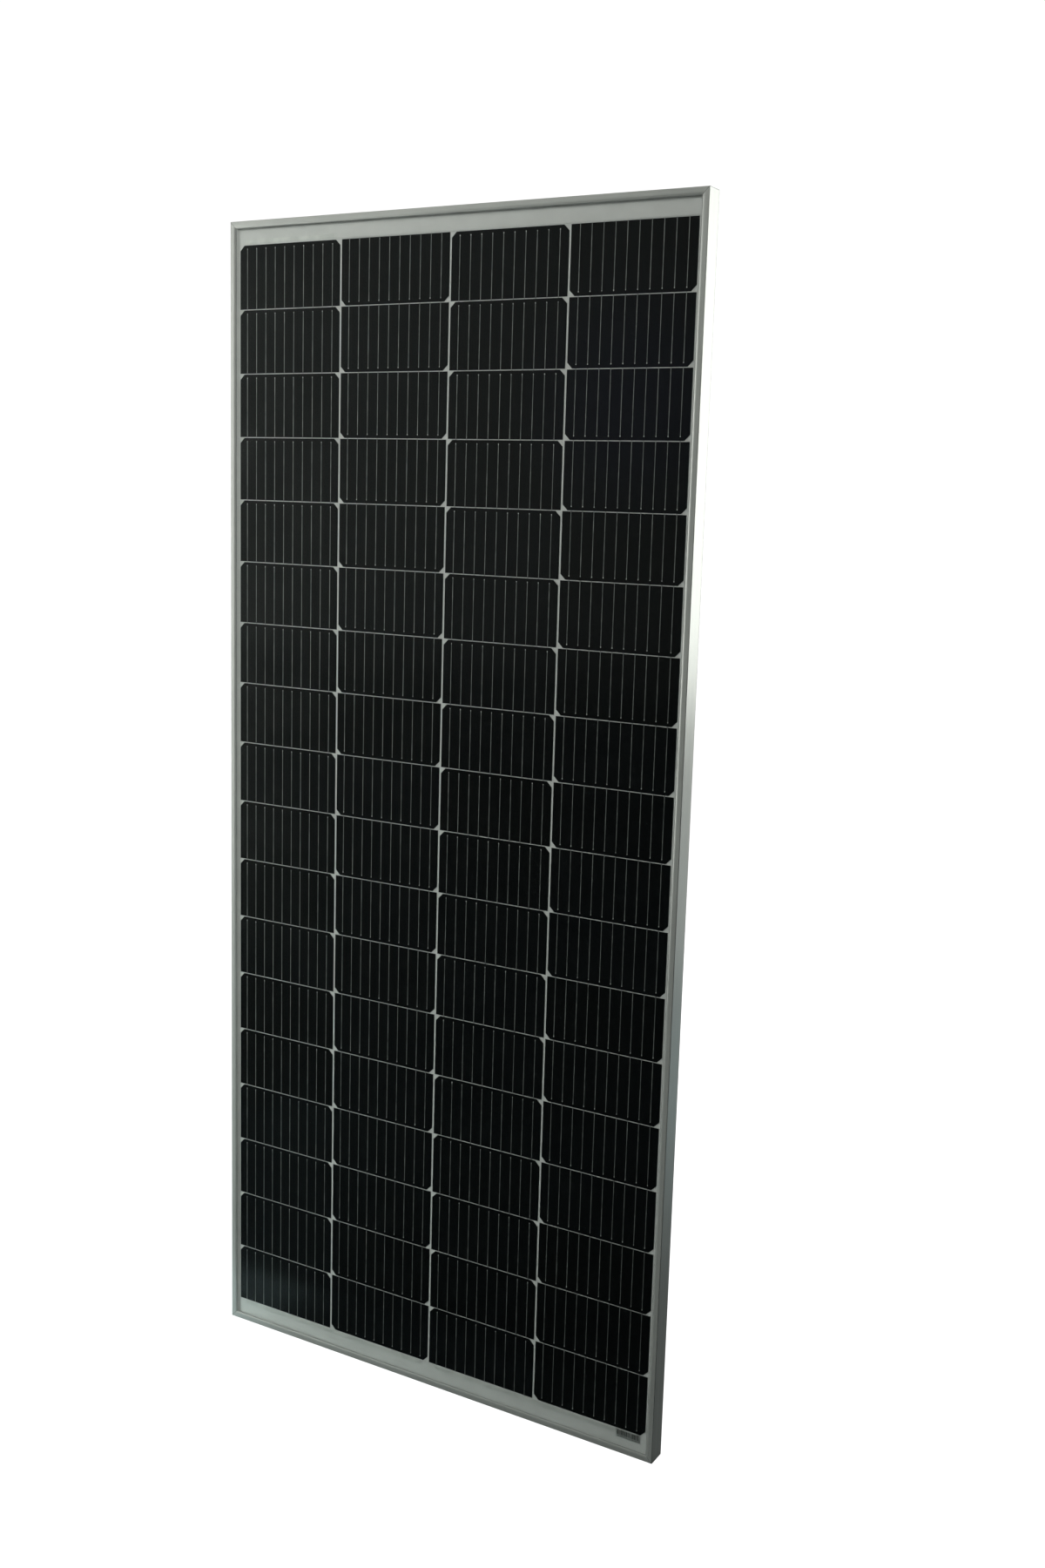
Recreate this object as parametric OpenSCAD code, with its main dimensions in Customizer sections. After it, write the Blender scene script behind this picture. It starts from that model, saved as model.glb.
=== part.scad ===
// Framed solar panel with 72 half-cut cells in four strings, standing upright with its glass to -Y.
// Origin: centre of the rear mounting plane. X is the width, +Y points to the rear and +Z is up.
// Depths through the panel are counted from the front lip's face, which lies at y = -frame_d.

/* [Frame] */
// Outer width of the frame
panel_w = 766; // [762:1:780]
// Outer height of the frame
panel_h = 1726; // [1724:1:1760]
// Depth of the frame, front lip to rear flange
frame_d = 30; // [30:1:40]
// Wall thickness of the frame's outer side
wall = 1.5; // [1.2:0.1:1.8]
// Width of the front lip
lip_w = 9.5; // [8:0.5:10]
// Width of the rear flange on the two long rails
long_flange = 28; // [26:1:32]
// Width of the rear flange on the two short rails
short_flange = 20; // [18:1:22]

/* [Cells] */
// Cells in one string
rows = 18; // [16:1:18]
// Width of a half cell
cell_w = 182; // [180:1:182]
// Height of a half cell
cell_h = 91; // [90:0.5:91]
// Gap between strings
string_gap = 3; // [2:0.5:3]
// Gap between cells in a string
cell_gap = 1.2; // [1:0.1:1.4]
// Leg of the clipped cell corners
clip = 7.6; // [6:0.2:8]
// Tab ribbons across a cell
tabs = 10; // [9:1:10]
// Width of a tab ribbon
tab_w = 0.8; // [0.6:0.1:1]

/* [Mounting] */
// Distance between the outer mounting slots of one long rail
outer_span = 1376; // [1300:1:1400]
// Distance between the inner mounting slots of one long rail
inner_span = 990; // [900:1:1000]
// Distance between the two earthing holes of one long rail
earth_span = 300; // [200:10:400]
// Distance from the frame's side to the middle of its holes
hole_inset = 15; // [14:0.5:16]

/* [Junction box] */
// Width of the box
box_w = 108; // [104:1:116]
// Height of the box
box_h = 84; // [84:1:90]
// Depth of the box's base, from its adhesive to its rim
box_d = 16; // [16:0.5:16.5]

/* [Hidden] */
$fn = 64;
cut = 0.5;

// rail section
lip_t = 1.6;
lip_end = 0.5;
nose_u = 5.8;
corner_r = 1;
shelf_t = 1.4;
chamber_d = 10;
chamber_w = 6.6;
rib_t = 1.4;
flange_t = 1.6;

// laminate, front to rear
bead = 0.3;
glass_t = 3.2;
film_t = 0.4;
foil_t = 0.2;
sheet_t = 0.3;
glass_inset = 3;
bead_w = 0.7;
y_front = -frame_d;
y_glass = y_front + lip_t + bead;
y_film = y_glass + glass_t;
y_tab = y_film + film_t;
y_cell = y_tab + foil_t;
y_back_tab = y_cell + foil_t;
y_back_film = y_back_tab + foil_t;
y_sheet = y_back_film + film_t;
y_rear = y_sheet + sheet_t;
shelf_v = lip_t + bead + y_rear - y_glass + bead;
chamber_v = shelf_v + shelf_t;
rib_v = chamber_v + chamber_d;
glass_w = panel_w - 2 * glass_inset;
glass_h = panel_h - 2 * glass_inset;

// cell array
strings = 4;
cell_pitch = cell_h + cell_gap;
string_pitch = cell_w + string_gap;
array_h = rows * cell_pitch - cell_gap;
top_z = array_h / 2;
tab_pitch = cell_w * 0.0948;
tab_start = 5.3;
tab_under = 80;
tab_edge = tab_pitch * (tabs - 1) / 2;

// bus ribbons in the two margins
bus_w = 6;
bus_gap = 2;
bus_end = bus_gap + bus_w;
bus_over = 3;
lead_gap = 10;
lead_end = lead_gap + bus_w;
lead_x = 23.5;
lead_w = 5;
lead_drop = 36;
lead_lie = 16;
patch_t = 0.15;

// labels
code_w = 38;
code_h = 12;
code_x = 341.5;
code_gap = 1.2;
rating_w = 90;
rating_h = 60;
rating_z = 640;
paper_t = 0.1;

// frame hardware
slot_w = 9;
slot_l = 14;
earth_d = 4.2;
drain_d = 5;
drain_x = 320;
key_leg = 60;
key_play = 0.1;
key_teeth = 5;

// junction box, from the backsheet's rear face outwards
box_z = top_z - 66.2;
pad_t = 0.8;
pad_edge = 2;
box_wall = 2.4;
box_floor = 2.2;
box_r = 6;
gasket_t = 1;
gasket_w = 1.4;
lid_t = 2.4;
lid_over = 2.1;
skirt_t = 1.6;
skirt_d = 2.5;
y_box = y_rear + pad_t;
y_rim = y_box + box_d;
y_lid = y_rim + gasket_t;
boss_t = 2;
y_term = y_box + box_floor + boss_t;
term_t = 0.8;
term_w = 13;
term_top = 28;
term_low = 8;
slot_z = top_z - lead_drop - foil_t / 2;
diode_r = 2.65;
diode_l = 7.4;
wire_r = 0.6;
diode_z = 12;
crimp_r = 2.8;
crimp_bore = 1.9;
crimp_low = -6;
pin_r = 1.2;
pin_play = 0.05;
knuckle_r = 3;
knuckle_w = 12;
knuckle_gap = 0.4;
pin_z = box_z + box_h / 2 + 3.2;
pin_y = y_lid + 0.8;

// cable glands
gland_x = 30;
gland_y = y_rear + 8.5;
gland_z = box_z - box_h / 2;
cable_r = 3;
stub_r = 6;
stub_l = 12;
stub_bore = 3.3;
seat_r = 5;
seat_l = 6;
seal_l = 7;
nut_af = 15;
nut_l = 12;
nut_top = 4.5;

function string_x(s) = (s - (strings + 1) / 2) * string_pitch;
function cell_z(r) = top_z - cell_h / 2 - r * cell_pitch;
// strings 1 and 3 run down the panel and strings 2 and 4 run up it
function runs_up(s) = s % 2 == 0 ? 1 : 0;

// A flat plate in the XZ plane, from y and t thick towards the rear
module plate(y, t) {
  translate([0, y + t, 0])
    rotate([90, 0, 0])
      linear_extrude(t)
        children();
}

// A strip w wide, centred on x, whose outline is given as (way down from z, depth y)
module strip(x, z, w) {
  translate([x - w / 2, 0, z])
    rotate([0, 90, 0])
      linear_extrude(w)
        children();
}

module block(x, y, z, size) {
  translate([x - size[0] / 2, y, z - size[2] / 2])
    cube(size);
}

module rounded(w, h, r) {
  square([w - 2 * r, h], center = true);
  square([w, h - 2 * r], center = true);
  for (x = [-1, 1], y = [-1, 1])
    translate([x * (w / 2 - r), y * (h / 2 - r)])
      circle(r);
}

// ---- Frame ----

// Section of a rail: x runs inwards from its outer side and y from its front face to the rear
module rail_section(flange) {
  lip_drop = lip_t - lip_end;
  nose_run = lip_w - nose_u;
  nose_r = (nose_run * nose_run + lip_drop * lip_drop) / (2 * lip_drop);
  difference() {
    union() {
      square([wall, frame_d]);
      square([lip_w, lip_t]);
      translate([0, shelf_v])
        square([lip_w, shelf_t]);
      translate([wall + chamber_w, shelf_v])
        square([lip_w - wall - chamber_w, chamber_d + shelf_t + rib_t]);
      translate([0, rib_v])
        square([lip_w, rib_t]);
      translate([0, frame_d - flange_t])
        square([flange, flange_t]);
    }
    difference() {
      translate([nose_u, -cut])
        square([nose_run + cut, lip_drop + cut]);
      translate([nose_u, nose_r])
        circle(nose_r, $fn = 128);
    }
    difference() {
      translate([-cut, -cut])
        square(corner_r + cut);
      translate([corner_r, corner_r])
        circle(corner_r);
    }
  }
}

// A rail standing on Z with both ends mitred, outer side at x = 0 and front face at y = 0
module rail(length, flange) {
  reach = long_flange + cut;
  intersection() {
    translate([0, 0, -length / 2])
      linear_extrude(length)
        rail_section(flange);
    plate(-cut, frame_d + 2 * cut)
      polygon([
        [0, -length / 2], [reach, reach - length / 2],
        [reach, length / 2 - reach], [0, length / 2]
      ]);
  }
}

module flange_hole(z, d) {
  translate([hole_inset, frame_d + cut, z])
    rotate([90, 0, 0])
      cylinder(h = flange_t + 2 * cut, d = d);
}

module flange_slot(z) {
  run = slot_l - slot_w;
  flange_hole(z - run / 2, slot_w);
  flange_hole(z + run / 2, slot_w);
  translate([hole_inset - slot_w / 2, frame_d - flange_t - cut, z - run / 2])
    cube([slot_w, flange_t + 2 * cut, run]);
}

module long_rail() {
  color("silver")
    translate([-panel_w / 2, y_front, 0])
      difference() {
        rail(panel_h, long_flange);
        for (side = [-1, 1]) {
          flange_slot(side * outer_span / 2);
          flange_slot(side * inner_span / 2);
          flange_hole(side * earth_span / 2, earth_d);
        }
      }
}

module short_rail() {
  color("silver")
    translate([0, y_front, panel_h / 2])
      rotate([0, 90, 0])
        difference() {
          rail(panel_w, short_flange);
          for (side = [-1, 1])
            translate([short_flange / 2 - hole_inset, 0, 0])
              flange_hole(side * drain_x, drain_d);
        }
}

// Pressed into two rails' chambers, with teeth that grip their inner walls
module corner_key() {
  out = wall + key_play;
  across = chamber_w - 2 * key_play;
  deep = chamber_d - 2 * key_play;
  tooth_pitch = (key_leg - across - 10) / key_teeth;
  color("gainsboro")
    translate([-panel_w / 2 + out, y_front + chamber_v + key_play, panel_h / 2 - out])
      difference() {
        union() {
          translate([0, 0, -key_leg])
            cube([across, deep, key_leg]);
          translate([0, 0, -across])
            cube([key_leg, deep, across]);
        }
        for (i = [1 : key_teeth]) {
          translate([across - cut, -cut, -across - i * tooth_pitch])
            cube([1, deep + 2 * cut, 1.5]);
          translate([across + i * tooth_pitch, -cut, -across - cut])
            cube([1.5, deep + 2 * cut, 1]);
        }
      }
}

// ---- Laminate ----

// Sealant that fills the rails' slot round the laminate and shows as a thin bead beside the lip
module edge_seal() {
  seal_d = shelf_v - lip_t;
  in = lip_w + bead_w;
  color("dimgray")
    difference() {
      union() {
        block(0, y_front + lip_t, 0, [panel_w - 2 * wall, seal_d, panel_h - 2 * wall]);
        block(0, y_front + lip_t - bead, 0, [panel_w - 2 * lip_w, bead, panel_h - 2 * lip_w]);
      }
      block(0, y_front, 0, [panel_w - 2 * in, frame_d, panel_h - 2 * in]);
      block(0, y_glass, 0, [glass_w, y_rear - y_glass, glass_h]);
    }
}

module front_glass() {
  color("lightcyan", 0.3)
    block(0, y_glass, 0, [glass_w, glass_t, glass_h]);
}

module front_film() {
  color("white", 0.3)
    block(0, y_film, 0, [glass_w, film_t, glass_h]);
}

// A half cell with its two clipped corners at the top
module half_cell() {
  w = cell_w / 2;
  h = cell_h / 2;
  polygon([[-w, -h], [w, -h], [w, h - clip], [w - clip, h], [clip - w, h], [-w, h - clip]]);
}

module cell_string(s) {
  color("midnightblue")
    translate([string_x(s), 0, 0])
      mirror([0, 0, runs_up(s)])
        for (r = [0 : rows - 1])
          plate(y_cell, foil_t)
            translate([0, cell_z(r)])
              half_cell();
}

// From the front of one cell, through the gap and along the back of the next
module cell_tab() {
  step = cell_h + cell_gap / 2;
  far = cell_h + cell_gap + tab_under;
  polygon([
    [tab_start, y_tab], [step + foil_t / 2, y_tab],
    [step + foil_t / 2, y_back_tab], [far, y_back_tab],
    [far, y_back_film], [step - foil_t / 2, y_back_film],
    [step - foil_t / 2, y_cell], [tab_start, y_cell]
  ]);
}

// The first cell's back to its bus ribbon
module first_tab() {
  translate([-bus_end, y_back_tab])
    square([bus_end + tab_under, foil_t]);
}

// The last cell's front to its bus ribbon
module last_tab() {
  translate([tab_start, y_tab])
    square([cell_h + bus_end - tab_start, foil_t]);
}

module tab_ribbons(s) {
  color("silver")
    translate([string_x(s), 0, 0])
      mirror([0, 0, runs_up(s)])
        for (i = [0 : tabs - 1]) {
          x = i * tab_pitch - tab_edge;
          strip(x, top_z, tab_w)
            first_tab();
          for (r = [0 : rows - 2])
            strip(x, top_z - r * cell_pitch, tab_w)
              cell_tab();
          strip(x, top_z - (rows - 1) * cell_pitch, tab_w)
            last_tab();
        }
}

module bus(x0, x1, gap) {
  translate([x0, y_cell, top_z + gap])
    cube([x1 - x0, foil_t, bus_w]);
}

// Outer string's bus, which climbs to the lead level and runs in to the junction box
module bus_lead() {
  x_end = string_x(1) + tab_edge + bus_over;
  turn = x_end + bus_over;
  color("silver")
    union() {
      bus(string_x(1) - tab_edge - bus_over, turn, bus_gap);
      translate([turn - bus_w, y_cell, top_z + bus_gap])
        cube([bus_w, foil_t, lead_end - bus_gap]);
      bus(turn - bus_w, lead_w / 2 - lead_x, lead_gap);
    }
}

module bus_link(s) {
  color("silver")
    bus(string_x(s) - tab_edge - bus_over, string_x(s + 1) + tab_edge + bus_over, bus_gap);
}

module insulating_strip() {
  color("white")
    translate([-205, y_tab, top_z + lead_gap - 1])
      cube([410, foil_t, bus_w + 2]);
}

module bus_tapes() {
  tape_w = 12;
  color("white")
    for (side = [-1, 1])
      block(side * 191, y_tab, top_z + bus_gap + bus_w / 2, [tape_w, foil_t, bus_w]);
}

module lead_patch() {
  y = y_back_film;
  color("white")
    difference() {
      translate([-40, y, top_z - 33])
        cube([80, patch_t, 33 + lead_gap - 0.4]);
      translate([-lead_w, y - cut, top_z - bus_gap])
        cube([2 * lead_w, 2 * cut, 20]);
    }
}

// Outline of a lead: a tab on its bus, a run behind the patch, then out to its terminal
module lead_line(gap) {
  y_run = y_back_film + patch_t;
  y_lie = y_term + term_t;
  polygon([
    [-gap - bus_w, y_back_tab], [foil_t - gap, y_back_tab],
    [foil_t - gap, y_run], [lead_drop + foil_t, y_run],
    [lead_drop + foil_t, y_lie], [lead_drop + lead_lie, y_lie],
    [lead_drop + lead_lie, y_lie + foil_t], [lead_drop, y_lie + foil_t],
    [lead_drop, y_run + foil_t], [-gap, y_run + foil_t],
    [-gap, y_back_film], [-gap - bus_w, y_back_film]
  ]);
}

module lead_ribbons() {
  color("silver") {
    strip(0, top_z, lead_w)
      lead_line(bus_gap);
    for (side = [-1, 1])
      strip(side * lead_x, top_z, lead_w)
        lead_line(lead_gap);
  }
}

module rear_film() {
  window_h = lead_drop + lead_gap + 1;
  color("white", 0.5)
    difference() {
      block(0, y_back_film, 0, [glass_w, film_t, glass_h]);
      block(0, y_back_film - cut, top_z + lead_gap + 0.5 - window_h / 2, [82, 2, window_h]);
    }
}

module backsheet() {
  color("white")
    difference() {
      block(0, y_sheet, 0, [glass_w, sheet_t, glass_h]);
      for (x = [-lead_x, 0, lead_x])
        block(x, y_sheet - cut, slot_z, [lead_w + 2, 2, 1.6]);
    }
}

module code_label() {
  color("white")
    block(code_x, y_tab, -top_z - code_gap - code_h / 2, [code_w, foil_t, code_h]);
}

module rating_label() {
  color("whitesmoke")
    block(0, y_rear, rating_z, [rating_w, paper_t, rating_h]);
}

// ---- Junction box ----

module box_slot(y, t) {
  block(0, y, slot_z, [2 * lead_x + lead_w + 8, t, 5]);
}

module box_adhesive() {
  color("gainsboro")
    difference() {
      plate(y_rear, pad_t)
        translate([0, box_z])
          rounded(box_w - 2 * pad_edge, box_h - 2 * pad_edge, box_r - pad_edge);
      box_slot(y_rear - cut, 2);
    }
}

module knuckle(x0, x1, bore) {
  translate([x0, pin_y, pin_z])
    rotate([0, 90, 0])
      difference() {
        cylinder(h = x1 - x0, r = knuckle_r);
        translate([0, 0, -cut])
          cylinder(h = x1 - x0 + 2 * cut, r = bore);
      }
}

module gland_stub(x) {
  translate([x, gland_y, gland_z - stub_l])
    cylinder(h = stub_l + box_wall / 2, r = stub_r);
}

module gland_way(x) {
  translate([x, gland_y, gland_z - stub_l - cut]) {
    cylinder(h = stub_l + box_wall + 2 * cut, r = stub_bore);
    cylinder(h = seat_l + cut, r = seat_r);
  }
}

module box_base() {
  top = box_z + box_h / 2;
  outer = knuckle_w + knuckle_gap;
  color("#202224")
    difference() {
      union() {
        difference() {
          plate(y_box, box_d)
            translate([0, box_z])
              rounded(box_w, box_h, box_r);
          plate(y_box + box_floor, box_d)
            translate([0, box_z])
              rounded(box_w - 2 * box_wall, box_h - 2 * box_wall, box_r - box_wall);
        }
        for (x = [-lead_x, 0, lead_x])
          block(x, y_box + box_floor - cut, box_z + 18, [term_w - 2, boss_t + cut, 14]);
        for (side = [-1, 1]) {
          gland_stub(side * gland_x);
          translate([side * (outer + knuckle_w / 2) - knuckle_w / 2, y_rim - 4, top - cut])
            difference() {
              cube([knuckle_w, 4, pin_z - top + cut]);
              translate([-cut, pin_y - y_rim + 4, pin_z - top + cut])
                rotate([0, 90, 0])
                  cylinder(h = knuckle_w + 2 * cut, r = knuckle_r - cut);
            }
        }
        knuckle(outer, outer + knuckle_w, pin_r);
        knuckle(-outer - knuckle_w, -outer, pin_r);
      }
      box_slot(y_box - cut, box_floor + 2 * cut);
      gland_way(gland_x);
      gland_way(-gland_x);
    }
}

module box_gasket() {
  edge = 0.5;
  color("dimgray")
    plate(y_rim, gasket_t)
      translate([0, box_z])
        difference() {
          rounded(box_w - 2 * edge, box_h - 2 * edge, box_r - edge);
          rounded(box_w - 2 * (edge + gasket_w), box_h - 2 * (edge + gasket_w), box_r - edge - gasket_w);
        }
}

// Lid plate with a skirt on three sides; the side by the hinge is cut straight and has the knuckle.
// The skirt stops short of the base's rounded corners there, so that it clears them as the lid turns.
module box_lid() {
  top = box_z + box_h / 2;
  w = box_w + 2 * lid_over;
  h = box_h + 2 * lid_over;
  inner = lid_over - skirt_t;
  panel_t = 0.8;
  skirt_stop = box_r + 1;
  color("#26282a")
    union() {
      difference() {
        plate(y_lid - skirt_d, skirt_d + lid_t)
          translate([0, box_z])
            rounded(w, h, box_r + lid_over);
        plate(y_lid - skirt_d - cut, skirt_d + cut)
          translate([0, box_z])
            rounded(box_w + 2 * inner, box_h + 2 * inner, box_r + inner);
        block(0, y_lid - skirt_d - cut, top + 5 - 0.3, [w + 2, skirt_d + lid_t + 2 * cut, 10]);
        block(0, y_lid - skirt_d - cut, top + 5 - skirt_stop / 2, [w + 2, skirt_d + cut, 10 + skirt_stop]);
      }
      plate(y_lid + lid_t, panel_t)
        translate([0, box_z - 1])
          rounded(box_w - 24, box_h - 24, 4);
      block(0, y_lid, box_z - box_h / 2 - lid_over - 1, [18, lid_t, 4]);
      difference() {
        block(0, y_lid, (top - 1 + pin_z) / 2, [2 * knuckle_w, lid_t, pin_z - top + 1]);
        translate([-knuckle_w - cut, pin_y, pin_z])
          rotate([0, 90, 0])
            cylinder(h = 2 * knuckle_w + 2 * cut, r = knuckle_r - cut);
      }
      knuckle(-knuckle_w, knuckle_w, pin_r + pin_play);
    }
}

module hinge_pin() {
  reach = 2 * knuckle_w + knuckle_gap;
  color("lightgray")
    translate([-reach, pin_y, pin_z])
      rotate([0, 90, 0])
        cylinder(h = 2 * reach, r = pin_r);
}

// Plate on its boss; an outer one also carries the barrel that a cable's core is crimped in
module terminal(x, crimped) {
  low = crimped ? crimp_low : term_low;
  color("peru")
    difference() {
      union() {
        translate([x - term_w / 2, y_term, box_z + low])
          cube([term_w, term_t, term_top - low]);
        if (crimped)
          translate([x, y_term + term_t + crimp_r - 0.2, box_z + crimp_low])
            cylinder(h = term_low - crimp_low - 3, r = crimp_r);
      }
      if (crimped)
        translate([x, y_term + term_t + crimp_r - 0.2, box_z + crimp_low - cut])
          cylinder(h = term_low - crimp_low - 3 + 2 * cut, r = crimp_bore);
    }
}

// Bridges that press the three lead ribbons on their terminals
module ribbon_clips() {
  y = y_term + term_t;
  color("lightgray")
    for (x = [-lead_x, 0, lead_x])
      difference() {
        block(x, y, box_z + 22, [11, 1.4, 4]);
        block(x, y - cut, box_z + 22, [lead_w + 0.4, cut + foil_t, 6]);
      }
}

module bypass_diode(x) {
  y = y_term + term_t + wire_r;
  wire_l = lead_x - term_w + 6;
  color("#1a1a1a")
    translate([x, y, box_z + diode_z])
      rotate([0, 90, 0]) {
        cylinder(h = diode_l, r = diode_r, center = true);
        cylinder(h = wire_l, r = wire_r, center = true);
      }
}

module gland_seal(x) {
  color("#303030")
    translate([x, gland_y, gland_z - stub_l - seal_l + seat_l])
      difference() {
        cylinder(h = seal_l, r = seat_r - 0.05);
        translate([0, 0, -cut])
          cylinder(h = seal_l + 2 * cut, r = cable_r);
      }
}

// Hexagon nut that screws over the stub and squeezes the seal
module gland_nut(x) {
  top = gland_z - nut_top;
  floor_z = gland_z - stub_l - seal_l + seat_l;
  color("#1c1e20")
    translate([x, gland_y, 0])
      difference() {
        union() {
          translate([0, 0, top - nut_l + 3])
            cylinder(h = nut_l - 3, r = nut_af / 2 / cos(30), $fn = 6);
          translate([0, 0, top - nut_l])
            cylinder(h = 3, r = nut_af / 2 - 1);
        }
        translate([0, 0, floor_z])
          cylinder(h = top - floor_z + cut, r = stub_r + 0.1);
        translate([0, 0, top - nut_l - cut])
          cylinder(h = nut_l, r = cable_r + 0.4);
      }
}

long_rail();  // frame_rail_left
mirror([1, 0, 0]) long_rail();  // frame_rail_right
short_rail();  // frame_rail_top
mirror([0, 0, 1]) short_rail();  // frame_rail_bottom
corner_key();  // corner_key_top_left
mirror([1, 0, 0]) corner_key();  // corner_key_top_right
mirror([0, 0, 1]) corner_key();  // corner_key_bottom_left
mirror([1, 0, 0]) mirror([0, 0, 1]) corner_key();  // corner_key_bottom_right
edge_seal();
front_glass();
front_film();
cell_string(1);  // cell_string_1
cell_string(2);  // cell_string_2
cell_string(3);  // cell_string_3
cell_string(4);  // cell_string_4
tab_ribbons(1);  // tab_ribbons_1
tab_ribbons(2);  // tab_ribbons_2
tab_ribbons(3);  // tab_ribbons_3
tab_ribbons(4);  // tab_ribbons_4
bus_lead();  // bus_lead_left
mirror([1, 0, 0]) bus_lead();  // bus_lead_right
bus_link(2);  // bus_link_top
mirror([0, 0, 1]) bus_link(1);  // bus_link_bottom_left
mirror([0, 0, 1]) bus_link(3);  // bus_link_bottom_right
insulating_strip();
bus_tapes();
lead_patch();
lead_ribbons();
rear_film();
backsheet();
code_label();
rating_label();
box_adhesive();
box_base();
box_gasket();
box_lid();
hinge_pin();
terminal(-lead_x, true);  // terminal_left
terminal(0, false);  // terminal_middle
terminal(lead_x, true);  // terminal_right
ribbon_clips();
bypass_diode(-lead_x / 2);  // bypass_diode_left
bypass_diode(lead_x / 2);  // bypass_diode_right
gland_seal(-gland_x);  // gland_seal_left
gland_seal(gland_x);  // gland_seal_right
gland_nut(-gland_x);  // gland_nut_left
gland_nut(gland_x);  // gland_nut_right
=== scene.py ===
import math
import random

import bmesh
import bpy
from mathutils import Matrix, Vector


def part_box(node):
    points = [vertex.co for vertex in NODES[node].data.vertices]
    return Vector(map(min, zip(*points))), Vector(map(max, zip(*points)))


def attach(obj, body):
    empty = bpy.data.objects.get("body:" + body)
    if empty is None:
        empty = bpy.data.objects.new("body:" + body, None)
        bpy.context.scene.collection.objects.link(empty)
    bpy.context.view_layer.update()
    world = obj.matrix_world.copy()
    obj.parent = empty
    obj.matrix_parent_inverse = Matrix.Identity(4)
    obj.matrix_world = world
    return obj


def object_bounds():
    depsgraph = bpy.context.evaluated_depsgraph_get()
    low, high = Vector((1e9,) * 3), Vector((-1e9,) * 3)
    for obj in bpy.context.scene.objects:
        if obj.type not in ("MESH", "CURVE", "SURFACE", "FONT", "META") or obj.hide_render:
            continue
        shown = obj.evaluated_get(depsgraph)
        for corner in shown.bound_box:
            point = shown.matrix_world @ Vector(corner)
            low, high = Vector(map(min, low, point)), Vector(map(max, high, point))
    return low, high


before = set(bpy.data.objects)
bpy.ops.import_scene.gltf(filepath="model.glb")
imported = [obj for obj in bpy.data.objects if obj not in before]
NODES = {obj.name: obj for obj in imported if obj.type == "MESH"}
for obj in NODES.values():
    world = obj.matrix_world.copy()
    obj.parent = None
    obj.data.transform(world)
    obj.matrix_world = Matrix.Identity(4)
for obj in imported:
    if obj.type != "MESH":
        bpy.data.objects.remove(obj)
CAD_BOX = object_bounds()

MM = 0.001

# ---------------------------------------------------------------- camera
EYE = Vector((1.2502, -1.9450, 0.4781))
RIGHT = Vector((0.8623, 0.5056, 0.0286))
UP = Vector((-0.1085, 0.1293, 0.9856))
LENS_MM = 37.18
SHIFT_DOWN = 0.00906


def make_camera():
    """A camera a little above the middle of the panel, out to its right."""
    data = bpy.data.cameras.new("studio_camera")
    data.lens = LENS_MM
    data.sensor_width = 36.0
    data.shift_y = -SHIFT_DOWN
    camera = bpy.data.objects.new("studio_camera", data)
    bpy.context.scene.collection.objects.link(camera)
    right = RIGHT.normalized()
    back = right.cross(UP).normalized()
    up = back.cross(right)
    turn = Matrix((right, up, back)).transposed().to_4x4()
    camera.matrix_world = Matrix.Translation(EYE) @ turn
    bpy.context.scene.camera = camera


make_camera()

# ---------------------------------------------------------------- node helpers


def add(tree, kind, inputs=None, **settings):
    """Makes a node, sets its settings, then fills its sockets with values or links."""
    made = tree.nodes.new(kind)
    for name, value in settings.items():
        setattr(made, name, value)
    for name, value in (inputs or {}).items():
        if isinstance(value, bpy.types.NodeSocket):
            tree.links.new(value, made.inputs[name])
        else:
            made.inputs[name].default_value = value
    return made


def sum_of(tree, operation, *values, clamp=False):
    """A Math node on values or sockets."""
    filled = dict(enumerate(values))
    return add(tree, "ShaderNodeMath", filled, operation=operation, use_clamp=clamp).outputs[0]


def mix_of(tree, first, first_share, second, second_share):
    """Two values added, each times its own share."""
    one = sum_of(tree, "MULTIPLY", first, first_share)
    other = sum_of(tree, "MULTIPLY", second, second_share)
    return sum_of(tree, "ADD", one, other)


def remap(tree, value, low, high, to_low, to_high):
    """Value taken from one range to another, clamped, with soft ends."""
    inputs = {"Value": value, "From Min": low, "From Max": high, "To Min": to_low, "To Max": to_high}
    return add(tree, "ShaderNodeMapRange", inputs, interpolation_type="SMOOTHSTEP").outputs["Result"]


def stretch_range(tree, value, low, high, to_low, to_high):
    """Value taken from one range to another, clamped, in a straight line."""
    inputs = {"Value": value, "From Min": low, "From Max": high, "To Min": to_low, "To Max": to_high}
    return add(tree, "ShaderNodeMapRange", inputs).outputs["Result"]


def blend(tree, share, first, second):
    """A colour between first and second."""
    made = add(tree, "ShaderNodeMix", {"Factor": share}, data_type="RGBA")
    for socket, value in ((made.inputs[6], first), (made.inputs[7], second)):
        if isinstance(value, bpy.types.NodeSocket):
            tree.links.new(value, socket)
        else:
            socket.default_value = (*value, 1.0)
    return made.outputs[2]


def place(tree):
    """The point on the part, in metres, in the part's own axes."""
    return add(tree, "ShaderNodeTexCoord").outputs["Object"]


def noise(tree, vector, scale, detail=2.0, roughness=0.5):
    inputs = {"Vector": vector, "Scale": scale, "Detail": detail, "Roughness": roughness}
    return add(tree, "ShaderNodeTexNoise", inputs).outputs["Fac"]


def new_group(name, inputs, outputs):
    """An empty shader node group with named sockets."""
    tree = bpy.data.node_groups.new(name, "ShaderNodeTree")
    for label, kind, value in inputs:
        made = tree.interface.new_socket(label, in_out="INPUT", socket_type="NodeSocket" + kind)
        made.default_value = value
    for label, kind in outputs:
        tree.interface.new_socket(label, in_out="OUTPUT", socket_type="NodeSocket" + kind)
    return tree, tree.nodes.new("NodeGroupInput").outputs, tree.nodes.new("NodeGroupOutput").inputs


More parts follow.
